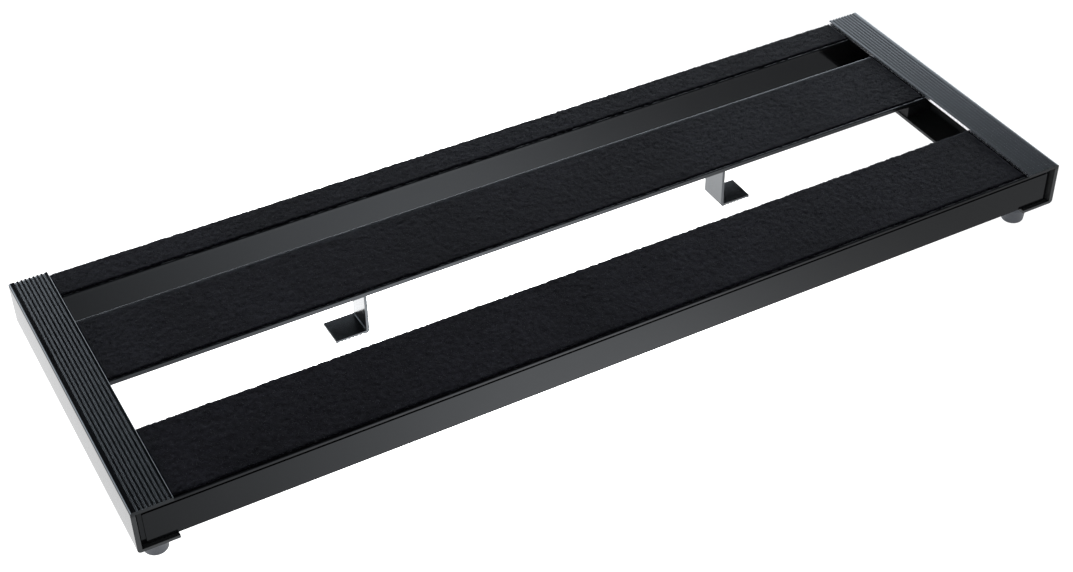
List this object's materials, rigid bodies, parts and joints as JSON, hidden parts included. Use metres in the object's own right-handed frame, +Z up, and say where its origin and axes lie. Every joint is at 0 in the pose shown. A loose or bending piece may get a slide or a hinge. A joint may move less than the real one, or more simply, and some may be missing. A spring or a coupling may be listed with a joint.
{
  "type": "pedalboard",
  "caption": "Flat frame with loop-covered decks between ribbed channel rails on rubber feet; the middle deck slides and carries power supply brackets.",
  "frame": {"origin": "on the floor under the middle of the board", "axes": "+X along the board's length, +Y from its front to its rear, +Z up"},
  "size_m": [0.8, 0.278, 0.064],
  "materials": {
    "extrusion": "black anodised, satin",
    "bracket": "gloss black",
    "loop": "napped loop tape",
    "rubber": "moulded, slightly translucent grey",
    "block": "black anodised, matt",
    "screw": "black oxide",
    "washer": "zinc plated"
  },
  "bodies": {
    "frame": {"left_side_rail": "extrusion", "right_side_rail": "extrusion", "front_rail": "extrusion", "front_panel": "extrusion", "rear_rail": "extrusion", "front_loop_strip": "loop", "rear_loop_strip": "loop", "corner_block_front_left": "block", "foot_front_left": "rubber", "foot_washer_front_left": "washer", "foot_screw_front_left": "screw", "block_screw_front_left": "screw", "deck_screw_front_left_1": "screw", "deck_screw_front_left_2": "screw", "corner_block_front_right": "block", "foot_front_right": "rubber", "foot_washer_front_right": "washer", "foot_screw_front_right": "screw", "block_screw_front_right": "screw", "deck_screw_front_right_1": "screw", "deck_screw_front_right_2": "screw", "corner_block_rear_left": "block", "foot_rear_left": "rubber", "foot_washer_rear_left": "washer", "foot_screw_rear_left": "screw", "block_screw_rear_left": "screw", "deck_screw_rear_left_1": "screw", "corner_block_rear_right": "block", "foot_rear_right": "rubber", "foot_washer_rear_right": "washer", "foot_screw_rear_right": "screw", "block_screw_rear_right": "screw", "deck_screw_rear_right_1": "screw"},
    "sliding_slat": {"middle_slat": "extrusion", "middle_loop_strip": "loop", "slide_block_left": "block", "clamp_screw_left": "screw", "deck_screw_middle_left_1": "screw", "deck_screw_middle_left_2": "screw", "slide_block_right": "block", "clamp_screw_right": "screw", "deck_screw_middle_right_1": "screw", "deck_screw_middle_right_2": "screw"},
    "left_holder": {"supply_bracket_left": "bracket", "bracket_screw_left": "screw", "track_nut_left": "washer"},
    "right_holder": {"supply_bracket_right": "bracket", "bracket_screw_right": "screw", "track_nut_right": "washer"}
  },
  "joints": [
    {"name": "slat_slide", "type": "slide", "parent": "frame", "child": "sliding_slat", "axis": [0, 1, 0], "range_m": [-0.05, 0.025]},
    {"name": "left_holder_slide", "type": "slide", "parent": "sliding_slat", "child": "left_holder", "axis": [1, 0, 0], "range_m": [-0.12, 0.1]},
    {"name": "right_holder_slide", "type": "slide", "parent": "sliding_slat", "child": "right_holder", "axis": [1, 0, 0], "range_m": [-0.1, 0.12]}
  ]
}
